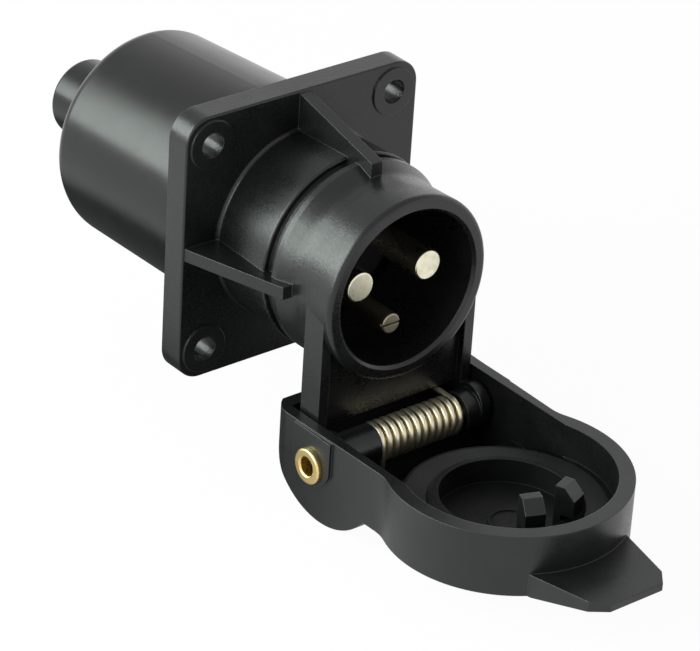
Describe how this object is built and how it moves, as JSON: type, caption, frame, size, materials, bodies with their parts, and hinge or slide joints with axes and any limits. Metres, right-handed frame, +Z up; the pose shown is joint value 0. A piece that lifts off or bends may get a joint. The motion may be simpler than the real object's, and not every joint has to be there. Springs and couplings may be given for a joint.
{
  "type": "car power socket",
  "caption": "Panel-mount car power socket with a square flange, pin contacts in a round barrel, a sprung hinged lid and a rubber rear boot.",
  "frame": {"origin": "centre of the four flange bolt holes, on the flange's back face", "axes": "the barrel points along -Y and the rear boot along +Y, +X is to the right when the mouth is faced, +Z is up with the lid's hinge below the barrel"},
  "size_m": [0.0574, 0.1785, 0.0718],
  "materials": {
    "housing_black": "fine moulded grain, glass-filled nylon",
    "insert_black": "moulded thermoset",
    "lid_black": "fine moulded grain, glass-filled nylon",
    "boot_rubber": "smooth moulded rubber",
    "seal_rubber": "flat moulded rubber",
    "rivet_brass": "rolled brass tube",
    "pin_tinned": "tin-plated, turned",
    "screw_steel": "zinc-plated steel",
    "spring_steel": "drawn spring wire"
  },
  "bodies": {
    "socket": {"housing": "housing_black", "contact_insert": "insert_black", "pin_left": "pin_tinned", "terminal_screw_left": "screw_steel", "pin_right": "pin_tinned", "terminal_screw_right": "screw_steel", "pin_lower": "pin_tinned", "terminal_screw_lower": "screw_steel", "lid_spring": "spring_steel", "rear_boot": "boot_rubber"},
    "lid": {"lid": "lid_black", "lid_seal": "seal_rubber", "hinge_rivet": "rivet_brass"}
  },
  "joints": [
    {"name": "lid_hinge", "type": "hinge", "parent": "socket", "child": "lid", "pos_m": [0, -0.041, -0.0315], "axis": [-1, 0, 0], "range_deg": [0, 90], "deforming": ["lid_spring"]}
  ]
}
